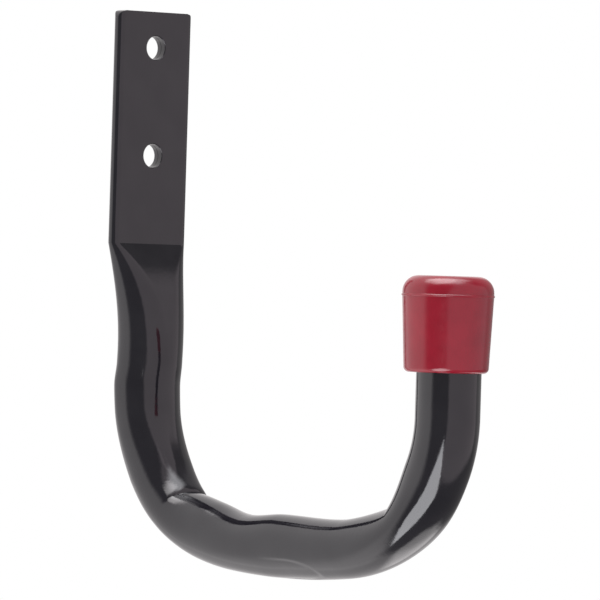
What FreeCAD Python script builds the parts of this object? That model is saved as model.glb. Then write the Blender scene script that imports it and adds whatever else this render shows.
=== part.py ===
"""Garage utility hook: a wrinkle-bent steel tube with a flattened wall plate, and a soft end cap.

Frame: the wall is the plane X = 0 and +X points out from it, +Z is up, and Y runs along the wall.
The origin is the middle of the two screw holes on the back of the plate. All sizes are millimetres.
"""
import FreeCAD, Part
import os
from math import cos, pi, radians, sin

Vector = FreeCAD.Vector

# Tube stock: three-quarter inch steel tube.
tube_diameter = 19.05
tube_wall = 1.9

# Wall plate: the end of the tube pressed flat until a hairline is left between its two walls.
plate_hairline = 0.15
plate_above_holes = 11.0
plate_below_holes = 27.0
plate_corner = 1.5
plate_spread = 0.95
hole_spacing = 33.0
hole_diameter = 7.2

# Bend: the straight leg below the plate, then the outer side of the bend as arcs that run on from
# one another (radius, turn in degrees). The last arc turns whatever is left of the half circle.
leg_length = 50.44
bend_arcs = [(46.2, 76.3), (93.9, 8.5), (271.2, 11.0), (64.1, 8.8), (62.1, 26.1)]
last_bend_radius = 45.3
upright_length = 37.0

# Inner side: the tube was bent without a mandrel, so its depth rises and falls along the bend.
# Each row gives the distance along the outer side from the foot of the plate, the depth as a share
# of the diameter, the lean of the section (1 is flat on the outer side, 0 is even), how far it has
# turned from a rounded box into an oval, and whether the inner wall is folded sharply there.
waves = [
    (35.6, 0.781, 1.0, 0.0, False),
    (43.1, 0.738, 1.0, 0.0, False),
    (74.9, 0.861, 0.6, 0.0, False),
    (93.0, 0.819, 0.5, 0.7, True),
    (112.8, 0.978, 0.2, 1.0, False),
    (129.7, 0.921, 0.0, 1.0, False),
    (147.7, 1.000, 0.0, 1.0, False),
    (180.2, 0.923, 0.0, 1.0, False),
    (210.7, 0.745, 0.0, 1.0, True),
    (234.6, 1.000, 0.0, 1.0, False),
]
fold_steepness = 2.3
oval_bulge = 0.35
ring_step = 4.5
shortest_flat = 0.2

# End cap: moulded in soft plastic, a snug push fit on the upright end of the tube.
cap_height = 28.7
cap_crown = 4.0
cap_mouth_diameter = 24.4
cap_parting_diameter = 26.2
cap_parting_below_top = 5.7
cap_crown_radius = 3.4
cap_lip_radius = 1.6
cap_flash = 0.25
cap_clearance = 0.02
corner_chords = 5

tube_radius = tube_diameter / 2
plate_thickness = 2 * tube_wall + plate_hairline
plate_top = hole_spacing / 2 + plate_above_holes
plate_foot = -hole_spacing / 2 - plate_below_holes
bend_start = plate_foot - leg_length


def flattened_half_width(depth):
    """Half width of the tube pressed to a depth: its girth stays, but for a little spread."""
    return (2 * pi * tube_radius - (pi - 2) * depth) / 4 + plate_spread * (1 - depth / tube_diameter) ** 2


plate_half_width = flattened_half_width(plate_thickness)


def outer_line(distance):
    """Point on the outer side of the bend, and the inward direction there."""
    travel = distance - leg_length
    if travel <= 0:
        return Vector(0, 0, plate_foot - distance), Vector(1, 0, 0)
    point = Vector(0, 0, bend_start)
    turned = 0.0
    for radius, angle in arcs:
        inward = Vector(cos(turned), 0, sin(turned))
        centre = point + inward * radius
        step = min(travel / radius, radians(angle))
        turned += step
        inward = Vector(cos(turned), 0, sin(turned))
        point = centre - inward * radius
        travel -= step * radius
        if travel <= 1e-9:
            return point, inward
    return point + Vector(0, 0, travel), inward


def section_at(distance):
    """Depth on the inner side, depth at the sides, lean and oval share, eased between the rows.

    A fold keeps its sharp slope on the inner side and is smooth at the sides.
    """
    rows = [(0.0, plate_thickness / tube_diameter, 0.0, 0.0, True)] + waves
    for row, following in zip(rows, rows[1:]):
        start, depth_0, lean_0, oval_0, fold_0 = row
        end, depth_1, lean_1, oval_1, fold_1 = following
        if distance <= end:
            share = (distance - start) / (end - start)
            smooth = share * share * (3 - 2 * share)
            eased = smooth
            if fold_0:
                eased = 1 - (1 - share) ** fold_steepness
            elif fold_1:
                eased = share ** fold_steepness
            if start == 0:
                smooth = eased
            inner_depth = tube_diameter * (depth_0 + (depth_1 - depth_0) * eased)
            depth = tube_diameter * (depth_0 + (depth_1 - depth_0) * smooth)
            lean = lean_0 + (lean_1 - lean_0) * share
            oval = oval_0 + (oval_1 - oval_0) * share
            return inner_depth, depth, lean, oval
    return tube_diameter, tube_diameter, 0.0, 1.0


def ring(distance):
    """Closed wire of the section at a distance along the outer side.

    At the plate and the leg it is a rounded box: a flat on the inner side, corners round to a flat
    on the outer side, and corners back. In the bend the box turns into an oval, and the sides bulge
    less. A flat that has closed up is kept as a short piece of the oval.
    """
    inner_depth, depth, lean, oval = section_at(distance)
    bulge = 1 - oval + oval * oval_bulge
    half_width = tube_radius + bulge * (flattened_half_width(depth) - tube_radius)
    tightest = plate_thickness / 2
    inner_radius = depth / 2 + lean * (half_width - depth / 2)
    inner_radius = max(tightest, min(inner_radius, half_width, depth - tightest))
    outer_radius = depth - inner_radius
    point, inward = outer_line(distance)

    def wall_point(angle, side):
        """Point of the wall by its angle from the inward direction, on the right or the left."""
        radius = inner_radius if angle <= pi / 2 else outer_radius
        along = outer_radius + radius * cos(angle)
        across = half_width - radius + radius * sin(angle)
        along += oval * (depth / 2 * (1 + cos(angle)) - along)
        across += oval * (half_width * sin(angle) - across)
        along += (inner_depth - depth) * max(cos(angle), 0) ** 2
        return point + inward * along + Vector(0, side * across, 0)

    def flat_angle(radius):
        """Angle at which the wall leaves its flat; not zero where the flat has closed up."""
        closed_up = (1 - oval) * (half_width - radius) < shortest_flat
        return shortest_flat / half_width if closed_up else 0.0

    breaks = [flat_angle(inner_radius), pi / 4, pi / 2, 3 * pi / 4, pi - flat_angle(outer_radius)]
    right, left = [], []
    for side, pieces in ((1, right), (-1, left)):
        for start, end in zip(breaks, breaks[1:]):
            pieces.append([wall_point(start + (end - start) * i / 2, side) for i in range(3)])
    inner_flat = [left[0][0], point + inward * inner_depth, right[0][0]]
    outer_flat = [right[-1][2], point, left[-1][2]]
    back = [three[::-1] for three in reversed(left)]
    return Part.Wire([wall_edge(*three) for three in [inner_flat] + right + [outer_flat] + back])


def wall_edge(first, middle, last):
    """Edge through three points: a line where they are in a row, otherwise an arc."""
    if middle.distanceToLine(first, last - first) < 1e-6:
        return Part.makeLine(first, last)
    return Part.Arc(first, middle, last).toShape()


def ring_places():
    """Distances of the rings along the outer side, about a step apart, with one on every fold."""
    folds = [0.0] + [row[0] for row in waves if row[4]] + [bend_end]
    places = [0.0]
    for start, end in zip(folds, folds[1:]):
        count = round((end - start) / ring_step)
        places += [start + (end - start) * i / count for i in range(1, count + 1)]
    return places


arcs = bend_arcs + [(last_bend_radius, 180 - sum(angle for radius, angle in bend_arcs))]
bend_end = leg_length + sum(radius * radians(angle) for radius, angle in arcs)
bend_foot, bend_inward = outer_line(bend_end)
upright_x = bend_foot.x - tube_radius
upright_top = bend_foot.z + upright_length

# Hook tube: the outer skin of plate, bend and upright, closed by its two cut ends.
rings = [ring(distance) for distance in ring_places()]
plate_rise = Vector(0, 0, plate_top - plate_foot)
upright_rise = Vector(0, 0, upright_length)
faces = rings[0].extrude(plate_rise).Faces
faces += Part.makeLoft(rings, False, True).Faces
faces += rings[-1].extrude(upright_rise).Faces
faces += [Part.Face(rings[0]).translated(plate_rise), Part.Face(rings[-1]).translated(upright_rise)]
skin = Part.Shell(faces)
skin.sewShape()
hook_tube = Part.Solid(skin)

# The hollow where it is open: the upright's bore, and the hairline between the plate's two walls.
bore_foot = Vector(upright_x, 0, bend_foot.z)
bore = Part.makeCylinder(tube_radius - tube_wall, upright_length, bore_foot)
hairline_half_width = plate_half_width - tube_wall
hairline_corner = Vector(tube_wall, -hairline_half_width, plate_foot)
hairline = Part.makeBox(plate_hairline, 2 * hairline_half_width, plate_rise.z, hairline_corner)
hook_tube = hook_tube.cut([bore, hairline])

# Two screw holes through both walls of the plate.
for hole_z in (-hole_spacing / 2, hole_spacing / 2):
    start = Vector(-plate_thickness, 0, hole_z)
    hole = Part.makeCylinder(hole_diameter / 2, 3 * plate_thickness, start, Vector(1, 0, 0))
    hook_tube = hook_tube.cut(hole)

# Deburred upper corners of the plate, cut by what is left of a square outside a quarter circle.
for side in (-1, 1):
    outside = Vector(-plate_thickness, side * plate_half_width, plate_top)
    centre = outside - Vector(0, side * plate_corner, plate_corner)
    square = Part.makeBox(3 * plate_thickness, plate_corner, plate_corner)
    square.translate(Vector(outside.x, min(outside.y, centre.y), centre.z))
    quarter = Part.makeCylinder(plate_corner, 3 * plate_thickness, centre, Vector(1, 0, 0))
    hook_tube = hook_tube.cut(square.cut(quarter))

# End cap: turned profile about the axis of the upright, from the mouth to the crown.
cap_top = upright_top + cap_crown
cap_mouth = cap_top - cap_height
parting_z = cap_top - cap_parting_below_top
parting_radius = cap_parting_diameter / 2
mouth_radius = cap_mouth_diameter / 2


def corner(radius, z, size, start):
    """Points of a rounded corner: a quarter turn about (radius, z) from the start angle, in chords."""
    angles = [radians(start + 90 * i / corner_chords) for i in range(corner_chords + 1)]
    return [(radius + size * cos(angle), z + size * sin(angle)) for angle in angles]


body_radius = parting_radius - cap_flash
outline = [(tube_radius + cap_clearance, cap_mouth)]
outline += corner(mouth_radius - cap_lip_radius, cap_mouth + cap_lip_radius, cap_lip_radius, -90)
outline += [(body_radius, parting_z - cap_flash), (parting_radius, parting_z),
            (body_radius, parting_z + cap_flash)]
outline += corner(body_radius - cap_crown_radius, cap_top - cap_crown_radius, cap_crown_radius, 0)
outline += [(0, cap_top), (0, upright_top), (tube_radius + cap_clearance, upright_top)]
profile = [Vector(upright_x + radius, 0, z) for radius, z in outline + outline[:1]]
cap_axis = Vector(upright_x, 0, 0)
end_cap = Part.Face(Part.makePolygon(profile)).revolve(cap_axis, Vector(0, 0, 1), 360)

os.makedirs("parts", exist_ok=True)
hook_tube.Solids[0].exportStep("parts/hook_tube.step")
end_cap.exportStep("parts/end_cap.step")
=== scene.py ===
"""Looks of the garage utility hook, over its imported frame. Names ending in _mm are millimetres."""

from math import cos, pi, radians, sin

import bpy
import numpy as np
from mathutils import Matrix, Vector


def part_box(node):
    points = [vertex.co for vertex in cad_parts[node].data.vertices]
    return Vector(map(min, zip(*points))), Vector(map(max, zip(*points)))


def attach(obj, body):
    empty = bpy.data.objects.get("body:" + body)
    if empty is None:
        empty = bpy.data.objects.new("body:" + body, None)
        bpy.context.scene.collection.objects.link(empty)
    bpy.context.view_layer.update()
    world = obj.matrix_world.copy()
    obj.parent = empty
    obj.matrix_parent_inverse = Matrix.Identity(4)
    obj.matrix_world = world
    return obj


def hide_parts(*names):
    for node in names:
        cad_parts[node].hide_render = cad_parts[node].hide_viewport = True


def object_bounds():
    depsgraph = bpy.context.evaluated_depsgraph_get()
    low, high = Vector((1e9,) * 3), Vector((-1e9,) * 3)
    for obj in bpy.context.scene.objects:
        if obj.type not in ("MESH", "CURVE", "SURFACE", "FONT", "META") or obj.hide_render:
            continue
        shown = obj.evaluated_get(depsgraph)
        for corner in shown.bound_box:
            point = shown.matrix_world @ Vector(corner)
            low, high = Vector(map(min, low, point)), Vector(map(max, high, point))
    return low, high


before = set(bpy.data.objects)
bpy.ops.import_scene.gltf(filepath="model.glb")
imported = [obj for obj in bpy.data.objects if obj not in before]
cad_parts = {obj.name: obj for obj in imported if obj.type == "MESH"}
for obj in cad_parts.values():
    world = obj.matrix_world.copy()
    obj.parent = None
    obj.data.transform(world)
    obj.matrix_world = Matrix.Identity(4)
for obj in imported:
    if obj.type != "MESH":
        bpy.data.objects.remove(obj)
cad_low, cad_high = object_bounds()

# Hook tube: one length of three-quarter inch steel tube, pressed flat at the wall end, punched for two
# screws and bent cold without a mandrel, so that its inner side buckled into waves and two sharp folds.
# It was sprayed gloss black after bending, which left a fine orange peel.
tube_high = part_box("hook_tube")[1]
tube_radius_mm = 19.05 / 2
tube_wall_mm = 1.9
plate_hairline_mm = 0.15
plate_thickness_mm = 2 * tube_wall_mm + plate_hairline_mm
plate_top_mm = tube_high[2] * 1000
plate_foot_mm = -43.5
plate_corner_mm = 2.3
plate_spread_mm = 0.95
hole_spacing_mm = 33.0
hole_radius_mm = 3.6
hole_edge_mm = 0.35
leg_length_mm = 50.44
upright_length_mm = 37.0
arc_radii_mm = np.array([46.2, 93.9, 271.2, 64.1, 62.1, 45.3])
arc_turns = np.radians([76.3, 8.5, 11.0, 8.8, 26.1, 49.3])
bend_end_mm = leg_length_mm + (arc_radii_mm * arc_turns).sum()

# Waves of the inner side: distance from the foot of the plate, depth as a share of the diameter, lean of
# the section (1 is flat on the outer side, 0 is even), how far it has turned from a rounded box into an
# oval, and for a fold of the inner wall the power of its fall to it. The foot of the plate is a fold too.
waves = [
    (0.0, plate_thickness_mm / tube_radius_mm / 2, 0.0, 0.0, 1.0),
    (35.6, 0.781, 1.0, 0.0, 0),
    (43.1, 0.738, 1.0, 0.0, 0),
    (74.9, 0.861, 0.6, 0.0, 0),
    (93.0, 0.819, 0.5, 0.7, 13.0),
    (112.8, 0.978, 0.2, 1.0, 0),
    (129.7, 0.921, 0.0, 1.0, 0),
    (147.7, 1.000, 0.0, 1.0, 0),
    (180.2, 0.923, 0.0, 1.0, 0),
    (210.7, 0.745, 0.0, 1.0, 2.3),
    (234.6, 1.000, 0.0, 1.0, 0),
]
fold_rise = 2.3
oval_bulge = 0.35
row_step_mm = 0.7
corner_rows = 9
straight_rows = 12
points_around = 192


def outer_line(distance):
    """Outer side of the bend: x, z and turn after straight, arcs in a row and straight again."""
    x = np.zeros_like(distance)
    z = plate_foot_mm - np.minimum(distance, leg_length_mm)
    turn = np.zeros_like(distance)
    left = distance - leg_length_mm
    start = 0.0
    for radius, angle in zip(arc_radii_mm, arc_turns):
        step = np.clip(left / radius, 0, angle)
        x += radius * (np.cos(start) - np.cos(start + step))
        z += radius * (np.sin(start) - np.sin(start + step))
        turn += step
        start += angle
        left = left - radius * angle
    return x, z + np.maximum(left, 0), turn


def section_sizes(distance):
    """Depth, depth at the sides, lean and oval share, eased between the rows of waves.

    A fold is a power curve on the inner side and a smooth step at the sides.
    """
    depth = np.where(distance < 0, waves[0][1], 1.0)
    side_depth = depth
    lean = np.zeros_like(distance)
    oval = np.where(distance < 0, 0.0, 1.0)
    for row, following in zip(waves, waves[1:]):
        start, depth_0, lean_0, oval_0, fold_0 = row
        end, depth_1, lean_1, oval_1, fold_1 = following
        share = np.clip((distance - start) / (end - start), 0, 1)
        smooth = share * share * (3 - 2 * share)
        eased = smooth
        if fold_0:
            eased = 1 - (1 - share) ** fold_rise
        elif fold_1:
            eased = share ** fold_1
        if start == 0:
            smooth = eased
        here = (distance >= start) & (distance <= end)
        depth = np.where(here, depth_0 + (depth_1 - depth_0) * eased, depth)
        side_depth = np.where(here, depth_0 + (depth_1 - depth_0) * smooth, side_depth)
        lean = np.where(here, lean_0 + (lean_1 - lean_0) * share, lean)
        oval = np.where(here, oval_0 + (oval_1 - oval_0) * share, oval)
    return depth * 2 * tube_radius_mm, side_depth * 2 * tube_radius_mm, lean, oval


def tube_points(distance):
    """Sections along the outer line, from rounded boxes at the plate and leg to ovals in the bend.

    Half a rounded box is a half flat on the inner side, a quarter circle, a quarter circle of the other
    corner radius and a half flat on the outer side, walked by arc length; the other half mirrors it.
    """
    inner_depth, depth, lean, oval = (values[:, None] for values in section_sizes(distance))
    half_width = (2 * pi * tube_radius_mm - (pi - 2) * depth) / 4
    half_width = half_width + plate_spread_mm * (1 - depth / tube_radius_mm / 2) ** 2
    half_width = tube_radius_mm + (1 - oval + oval * oval_bulge) * (half_width - tube_radius_mm)
    tightest = plate_thickness_mm / 2
    inner = depth / 2 + lean * (half_width - depth / 2)
    inner = np.maximum(tightest, np.minimum(np.minimum(inner, half_width), depth - tightest))
    outer = depth - inner
    share = np.arange(points_around)[None, :] / points_around
    side = np.where(share > 0.5, -1, 1)
    half_girth = 2 * half_width + depth * (pi / 2 - 1)
    walked = np.minimum(share, 1 - share) * 2 * half_girth
    inner_flat = half_width - inner
    inner_turn = np.clip((walked - inner_flat) / inner, 0, pi / 2)
    outer_turn = np.clip((walked - inner_flat - inner * pi / 2) / outer, 0, pi / 2)
    outer_flat = np.maximum(walked - inner_flat - (inner + outer) * pi / 2, 0)
    along = outer + inner * np.cos(inner_turn) - outer * np.sin(outer_turn)
    across = np.minimum(walked, inner_flat) + inner * np.sin(inner_turn)
    across = side * (across - outer * (1 - np.cos(outer_turn)) - outer_flat)
    angle = 2 * pi * share
    along = along + oval * (depth / 2 * (1 + np.cos(angle)) - along)
    across = across + oval * (half_width * np.sin(angle) - across)
    along = along + (inner_depth - depth) * np.maximum(np.cos(angle), 0) ** 2
    x, z, turn = (values[:, None] for values in outer_line(distance))
    return np.stack([x + along * np.cos(turn), across, z + along * np.sin(turn)], axis=-1)


def tube_rows():
    """Distances of the rows of points, close together on the bend, with one on every fold."""
    folds = [row[0] for row in waves if row[4]] + [bend_end_mm]
    top = plate_foot_mm - plate_top_mm
    rows = [top + plate_corner_mm * np.linspace(0, 1, corner_rows),
            np.linspace(top + plate_corner_mm, 0, straight_rows)[1:]]
    for start, end in zip(folds, folds[1:]):
        rows.append(np.linspace(start, end, round((end - start) / row_step_mm) + 1)[1:])
    rows.append(bend_end_mm + np.linspace(0, upright_length_mm, straight_rows)[1:])
    return np.concatenate(rows)


def closed_tube(name, points_mm):
    """Mesh object of a grid of points, closed round each row and by a face over both end rows."""
    rows, around = points_mm.shape[:2]
    index = np.arange(rows * around).reshape(rows, around)
    after = np.roll(index, -1, axis=1)
    quads = np.stack([index[:-1], index[1:], after[1:], after[:-1]], axis=-1).reshape(-1, 4)
    faces = quads.tolist() + [index[0].tolist(), index[-1][::-1].tolist()]
    mesh = bpy.data.meshes.new(name)
    mesh.from_pydata((points_mm.reshape(-1, 3) * 0.001).tolist(), [], faces)
    mesh.update()
    piece = bpy.data.objects.new(name, mesh)
    bpy.context.scene.collection.objects.link(piece)
    return piece


def cut_out(piece, cutter):
    """Cuts the cutter's volume out of the piece for good and removes the cutter."""
    boolean = piece.modifiers.new("cut", "BOOLEAN")
    boolean.operation = "DIFFERENCE"
    boolean.solver = "EXACT"
    boolean.object = cutter
    bpy.context.view_layer.update()
    cut_piece = piece.evaluated_get(bpy.context.evaluated_depsgraph_get())
    mesh = bpy.data.meshes.new_from_object(cut_piece)
    piece.modifiers.clear()
    piece.data = mesh
    bpy.data.objects.remove(cutter)


def smooth_shading(piece, sharpest_degrees):
    """Smooth shading that breaks at edges sharper than an angle."""
    piece.data.polygons.foreach_set("use_smooth", np.ones(len(piece.data.polygons), dtype=bool))
    piece.data.set_sharp_from_angle(angle=radians(sharpest_degrees))


distance_mm = tube_rows()
points_mm = tube_points(distance_mm)
plate_half_mm = points_mm[:, :, 1].max()
below_top_mm = distance_mm - distance_mm[0]
rise_mm = np.clip(plate_corner_mm - below_top_mm, 0, None)[:, None]
corner_limit_mm = plate_half_mm - plate_corner_mm + np.sqrt(plate_corner_mm ** 2 - rise_mm ** 2)
on_corner = rise_mm > 0
clipped_mm = np.clip(points_mm[:, :, 1], -corner_limit_mm, corner_limit_mm)
points_mm[:, :, 1] = np.where(on_corner, clipped_mm, points_mm[:, :, 1])

# The flat that the bending die left low on the right side: it fades in along the tube to a round nose.
flat_depth_mm = 0.3
flat_starts_mm = 66.0
flat_is_full_mm = 80.0
nose_length_mm = 15.0
nose_half_girth_mm = 6.2
nose_from_outer_line_mm = 5.8
rim_share = 0.2
girth_mm = tube_radius_mm * (2 * pi * np.arange(points_around) / points_around - pi)
along_mm = points_mm[:, :, 0]
begun = np.clip((along_mm - flat_starts_mm) / (flat_is_full_mm - flat_starts_mm), 0, 1)
from_nose_middle = np.hypot(np.maximum(along_mm - flat_is_full_mm, 0) / nose_length_mm,
                            (girth_mm - nose_from_outer_line_mm) / nose_half_girth_mm)
to_rim = np.clip((1 - from_nose_middle) / rim_share, 0, 1)
sunk_mm = flat_depth_mm * begun ** 2 * (3 - 2 * begun) * to_rim ** 2 * (3 - 2 * to_rim)
to_middle_mm = points_mm.mean(axis=1, keepdims=True) - points_mm
inward = to_middle_mm / np.linalg.norm(to_middle_mm, axis=-1, keepdims=True)
points_mm += sunk_mm[:, :, None] * inward
tube = closed_tube("hook_tube_looks", points_mm)

# The hairline between the plate's two walls, and the punched holes with their drawn-in edges.
cutter_past_mm = 1.0
hole_edge_rows = 7
hole_points_around = 96
slit_half_mm = plate_half_mm - tube_wall_mm
slit_z_mm = np.array([plate_top_mm + cutter_past_mm, plate_foot_mm])[:, None]
slit_x_mm = tube_wall_mm + plate_hairline_mm * np.array([[1, 1, 0, 0]])
slit_y_mm = slit_half_mm * np.array([[-1, 1, 1, -1]])
slit_mm = np.stack(np.broadcast_arrays(slit_x_mm, slit_y_mm, slit_z_mm), axis=-1)
cut_out(tube, closed_tube("hairline", slit_mm))
edge_turn = np.linspace(0, pi / 2, hole_edge_rows)
edge_depth_mm = hole_edge_mm * (1 - np.cos(edge_turn))
edge_flare_mm = hole_edge_mm * (1 - np.sin(edge_turn))
profile_x_mm = np.concatenate([[-cutter_past_mm], edge_depth_mm, plate_thickness_mm - edge_depth_mm[::-1],
                               [plate_thickness_mm + cutter_past_mm]])
profile_flare_mm = np.concatenate([[hole_edge_mm], edge_flare_mm, edge_flare_mm[::-1], [hole_edge_mm]])
round_hole = -np.linspace(0, 2 * pi, hole_points_around, endpoint=False)[None, :]
for hole_z_mm in (-hole_spacing_mm / 2, hole_spacing_mm / 2):
    hole_mm = np.stack(np.broadcast_arrays(
        profile_x_mm[:, None],
        (hole_radius_mm + profile_flare_mm)[:, None] * np.cos(round_hole),
        hole_z_mm + (hole_radius_mm + profile_flare_mm)[:, None] * np.sin(round_hole)), axis=-1)
    cut_out(tube, closed_tube("hole", hole_mm))
smooth_shading(tube, 30)


def new_material(name):
    """Node material with its shader, and the node tree to build on."""
    material = bpy.data.materials.new(name)
    material.use_nodes = True
    return material, material.node_tree, material.node_tree.nodes["Principled BSDF"]


def noise_over(tree, scale, detail):
    """Noise in object coordinates; scale is in features a metre."""
    coordinates = tree.nodes.new("ShaderNodeTexCoord")
    noise = tree.nodes.new("ShaderNodeTexNoise")
    noise.inputs["Scale"].default_value = scale
    noise.inputs["Detail"].default_value = detail
    tree.links.new(coordinates.outputs["Object"], noise.inputs["Vector"])
    return noise.outputs["Fac"]


def ramp(tree, factor, low, high):
    """Colour ramp from low to high between 0.35 and 0.65 of the factor."""
    node = tree.nodes.new("ShaderNodeValToRGB")
    node.color_ramp.elements[0].position = 0.35
    node.color_ramp.elements[1].position = 0.65
    node.color_ramp.elements[0].color = low
    node.color_ramp.elements[1].color = high
    tree.links.new(factor, node.inputs["Fac"])
    return node.outputs["Color"]


def bump(tree, height, distance, strength):
    """Bump normal from a height; distance is in metres."""
    node = tree.nodes.new("ShaderNodeBump")
    node.inputs["Distance"].default_value = distance
    node.inputs["Strength"].default_value = strength
    tree.links.new(height, node.inputs["Height"])
    return node.outputs["Normal"]


paint, tree, shader = new_material("gloss_black_paint")
black_deep = (0.0070, 0.0066, 0.0100, 1)
black_pale = (0.0112, 0.0108, 0.0142, 1)
tree.links.new(ramp(tree, noise_over(tree, 90, 3), black_deep, black_pale), shader.inputs["Base Color"])
tree.links.new(ramp(tree, noise_over(tree, 260, 4), (0.07, 0.07, 0.07, 1), (0.12, 0.12, 0.12, 1)),
               shader.inputs["Roughness"])
shader.inputs["IOR"].default_value = 1.65
tree.links.new(bump(tree, noise_over(tree, 700, 2), 0.00003, 0.6), shader.inputs["Normal"])
tube.data.materials.clear()
tube.data.materials.append(paint)
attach(tube, "root")
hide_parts("hook_tube")

# End cap: moulded in soft red plastic and pushed over the upright end, a little askew, where it grips by
# its own stretch. It has a rounded crown, a fine parting line under it and a rounded lip at the mouth.
# Its bore is true to the tube, and its outside is moved by the askew values. The parting line is wider by
# as much as the cap is moved towards the wall, so its outermost side stays where the solid has it.
cap_low, cap_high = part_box("end_cap")
cap_axis_mm = (cap_low[0] + cap_high[0]) * 1000 / 2
cap_top_mm = cap_high[2] * 1000
cap_lip_higher_mm = 0.6
cap_mouth_mm = cap_low[2] * 1000 + cap_lip_higher_mm
cap_mouth_radius_mm = 12.4
cap_askew_x_mm = -0.5
cap_askew_y_mm = -0.7
cap_parting_radius_mm = (cap_high[0] - cap_low[0]) * 1000 / 2 - cap_askew_x_mm
cap_parting_below_top_mm = 5.7
cap_parting_z_mm = cap_top_mm - cap_parting_below_top_mm
cap_crown_radius_mm = 4.7
cap_lip_radius_mm = 1.6
cap_flash_mm = 0.25
cap_flash_half_height_mm = 0.35
cap_crown_mm = 4.0
cap_middle_mm = 4.0
cap_corner_rows = 13
cap_flash_rows = 7
cap_points_around = 160


def quarter(radius, z, size, start_degrees):
    """Quarter circle of profile points about (radius, z)."""
    angle = np.radians(start_degrees + np.linspace(0, 90, cap_corner_rows))
    return np.stack([radius + size * np.cos(angle), z + size * np.sin(angle)], axis=-1)


body_radius_mm = cap_parting_radius_mm - cap_flash_mm
flash = np.linspace(-1, 1, cap_flash_rows)
flash_points = np.stack([body_radius_mm + cap_flash_mm * (1 - flash ** 2),
                         cap_parting_z_mm + cap_flash_half_height_mm * flash], axis=-1)
lip_radius_from_axis_mm = cap_mouth_radius_mm - cap_lip_radius_mm
crown_radius_from_axis_mm = body_radius_mm - cap_crown_radius_mm
profile_mm = np.concatenate([
    [[tube_radius_mm, cap_top_mm - cap_crown_mm], [tube_radius_mm, cap_mouth_mm]],
    quarter(lip_radius_from_axis_mm, cap_mouth_mm + cap_lip_radius_mm, cap_lip_radius_mm, -90),
    flash_points,
    quarter(crown_radius_from_axis_mm, cap_top_mm - cap_crown_radius_mm, cap_crown_radius_mm, 0),
    [[cap_middle_mm, cap_top_mm]],
])
round_cap = -np.linspace(0, 2 * pi, cap_points_around, endpoint=False)[None, :]
outside = profile_mm[:, :1] != tube_radius_mm
cap_points_mm = np.stack(np.broadcast_arrays(
    cap_axis_mm + cap_askew_x_mm * outside + profile_mm[:, :1] * np.cos(round_cap),
    cap_askew_y_mm * outside + profile_mm[:, :1] * np.sin(round_cap),
    profile_mm[:, 1:]), axis=-1)
cap = closed_tube("end_cap_looks", cap_points_mm)
smooth_shading(cap, 40)

plastic, tree, shader = new_material("soft_red_plastic")
red_deep = (0.232, 0.0040, 0.016, 1)
red_pale = (0.276, 0.0058, 0.020, 1)
tree.links.new(ramp(tree, noise_over(tree, 120, 4), red_deep, red_pale), shader.inputs["Base Color"])
tree.links.new(ramp(tree, noise_over(tree, 500, 4), (0.17, 0.17, 0.17, 1), (0.23, 0.23, 0.23, 1)),
               shader.inputs["Roughness"])
shader.inputs["IOR"].default_value = 1.6
tree.links.new(bump(tree, noise_over(tree, 1500, 3), 0.00003, 0.4), shader.inputs["Normal"])
cap.data.materials.append(plastic)
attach(cap, "root")
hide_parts("end_cap")

# Floor: a pale painted studio floor well below the hook, which hangs at its own height above it.
# Only the camera sees it, so that the gloss paint shows the studio's panels.
floor_drop = 0.35
floor_z = cad_low[2] - floor_drop
floor_half = 4.0
floor_mesh = bpy.data.meshes.new("floor")
floor_mesh.from_pydata([(-floor_half, -floor_half, floor_z), (floor_half, -floor_half, floor_z),
                        (floor_half, floor_half, floor_z), (-floor_half, floor_half, floor_z)],
                       [], [(0, 1, 2, 3)])
floor = bpy.data.objects.new("floor", floor_mesh)
bpy.context.scene.collection.objects.link(floor)
floor_paint, tree, shader = new_material("pale_floor")
shader.inputs["Roughness"].default_value = 0.9
tree.links.new(ramp(tree, noise_over(tree, 6, 4), (0.86, 0.86, 0.86, 1), (0.89, 0.89, 0.89, 1)),
               shader.inputs["Base Color"])
floor_mesh.materials.append(floor_paint)
floor.visible_diffuse = False
floor.visible_glossy = False
floor.visible_shadow = False

# Camera: long lens at the height of the hook, turned to the plate's right, and rolled a little.
camera_azimuth = -40.587
camera_elevation = -0.136
camera_roll = 1.734
camera_distance = 1.9495
camera_lens_mm = 390.8
camera_turns_about = Vector((0.062, 0.0, -0.050))
camera_aims_at = Vector((0.06742, 0.00633, -0.05915))
level = cos(radians(camera_elevation))
towards_camera = Vector((cos(radians(camera_azimuth)) * level, sin(radians(camera_azimuth)) * level,
                         sin(radians(camera_elevation))))
camera_place = camera_turns_about + towards_camera * camera_distance
backward = (camera_place - camera_aims_at).normalized()
rightward = Vector((0, 0, 1)).cross(backward).normalized()
upward = backward.cross(rightward)
turned = Matrix((rightward, upward, backward)).transposed().to_4x4()
camera_data = bpy.data.cameras.new("camera")
camera_data.lens = camera_lens_mm
camera_data.sensor_width = 36
camera_data.clip_end = 50
camera = bpy.data.objects.new("camera", camera_data)
rolled = Matrix.Rotation(radians(camera_roll), 4, "Z")
camera.matrix_world = Matrix.Translation(camera_place) @ turned @ rolled
bpy.context.scene.collection.objects.link(camera)
bpy.context.scene.camera = camera

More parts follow.
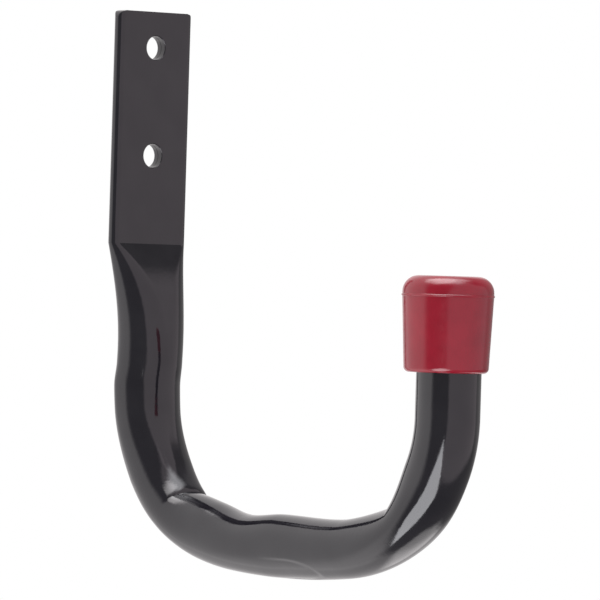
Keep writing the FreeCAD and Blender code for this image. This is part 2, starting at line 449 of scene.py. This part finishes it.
# Studio: flat soft panels round a dim room, and a white background where the camera looks past the hook.
# The walls on the right are a little rosy and the two lamps, low in front and overhead, a cooler white.
# A panel has its strength, the softness of its edges and its corners, as azimuth to the right of the
# camera's side and elevation, all in degrees, anticlockwise on a chart with elevation upwards.
room_strength = 0.21
right_walls = [
    (0.56, 4, [(34, 66), (-8, -30), (-3, -35), (40, -46), (92, -28), (92, 38), (86, 62), (60, 72)]),
    (0.54, 4, [(92, -28), (118, -12), (112, 30), (92, 38)]),
    (0.47, 4, [(-30, 52), (20, 46), (36, 60), (20, 72), (-15, 70)]),
]
other_walls = [
    (2.80, 3, [(-140, 58), (-95, 52), (-43, 50), (-8, 63), (50, 76), (150, 72)]),
    (0.88, 9, [(-84, 62), (-131, 62), (-135, -72), (-86, -72), (-58, 6)]),
    (0.35, 12, [(-78, -30), (-150, -30), (-150, -74), (-86, -74)]),
    (0.16, 6, [(117, -8), (180, -8), (170, 56), (119, 52)]),
    (0.75, 8, [(172, -8), (228, -8), (228, 56), (160, 60)]),
    (1.25, 4, [(118, -68), (172, -72), (172, -34), (150, -32), (128, -48)]),
    (0.70, 6, [(145, -36), (172, -72), (227, -72), (229, -5), (165, -10)]),
]
lamps = [
    (4.60, 2, [(-9, -13), (-34, -29), (-47, -39), (-98, -77), (13, -50)]),
    (3.30, 8, [(-135, 58), (-45, 58), (45, 58), (135, 58)]),
]
world = bpy.data.worlds.new("studio")
bpy.context.scene.world = world
world.use_nodes = True
tree = world.node_tree
nodes = tree.nodes
direction = nodes.new("ShaderNodeTexCoord").outputs["Generated"]


def towards(azimuth, elevation):
    """Direction from the hook by azimuth to the right of the camera's side and elevation, in degrees."""
    turn = radians(camera_azimuth + azimuth)
    rise = radians(elevation)
    return Vector((cos(rise) * cos(turn), cos(rise) * sin(turn), sin(rise)))


def combined(operation, first, second):
    """Output of a math node on an output and an output or number."""
    node = nodes.new("ShaderNodeMath")
    node.operation = operation
    tree.links.new(first, node.inputs[0])
    if isinstance(second, float):
        node.inputs[1].default_value = second
    else:
        tree.links.new(second, node.inputs[1])
    return node.outputs["Value"]


def panel_light(strength, softness, corners):
    """Strength inside a panel: full on the inner side of the plane through each edge and the hook."""
    light = strength
    for corner, following in zip(corners, corners[1:] + corners[:1]):
        side = nodes.new("ShaderNodeVectorMath")
        side.operation = "DOT_PRODUCT"
        side.inputs[1].default_value = towards(*corner).cross(towards(*following)).normalized()
        tree.links.new(direction, side.inputs[0])
        within = nodes.new("ShaderNodeMapRange")
        within.interpolation_type = "SMOOTHSTEP"
        within.inputs["From Min"].default_value = -sin(radians(softness))
        within.inputs["From Max"].default_value = sin(radians(softness))
        tree.links.new(side.outputs["Value"], within.inputs["Value"])
        light = combined("MULTIPLY", within.outputs["Result"], light)
    return light


def background(panels, dimmest, color):
    """Background shader that adds up the panels over a dimmest level."""
    total = dimmest
    for panel in panels:
        total = combined("ADD", panel_light(*panel), total)
    node = nodes.new("ShaderNodeBackground")
    node.inputs["Color"].default_value = color
    tree.links.new(total, node.inputs["Strength"])
    return node.outputs["Background"]


def both(first, second):
    """Sum of two shaders."""
    node = nodes.new("ShaderNodeAddShader")
    tree.links.new(first, node.inputs[0])
    tree.links.new(second, node.inputs[1])
    return node.outputs["Shader"]


wall_light = both(background(right_walls, 0.0, (1, 0.88, 0.94, 1)),
                  background(other_walls, room_strength, (1, 0.965, 0.97, 1)))
studio_light = both(wall_light, background(lamps, 0.0, (0.96, 0.96, 1, 1)))
seen_by_camera = nodes.new("ShaderNodeLightPath").outputs["Is Camera Ray"]
white_background = nodes["Background"]
white_background.inputs["Color"].default_value = (1, 1, 1, 1)
either = nodes.new("ShaderNodeMixShader")
tree.links.new(seen_by_camera, either.inputs["Fac"])
tree.links.new(studio_light, either.inputs[1])
tree.links.new(white_background.outputs["Background"], either.inputs[2])
tree.links.new(either.outputs["Shader"], nodes["World Output"].inputs["Surface"])
bpy.context.scene.view_settings.view_transform = "Standard"
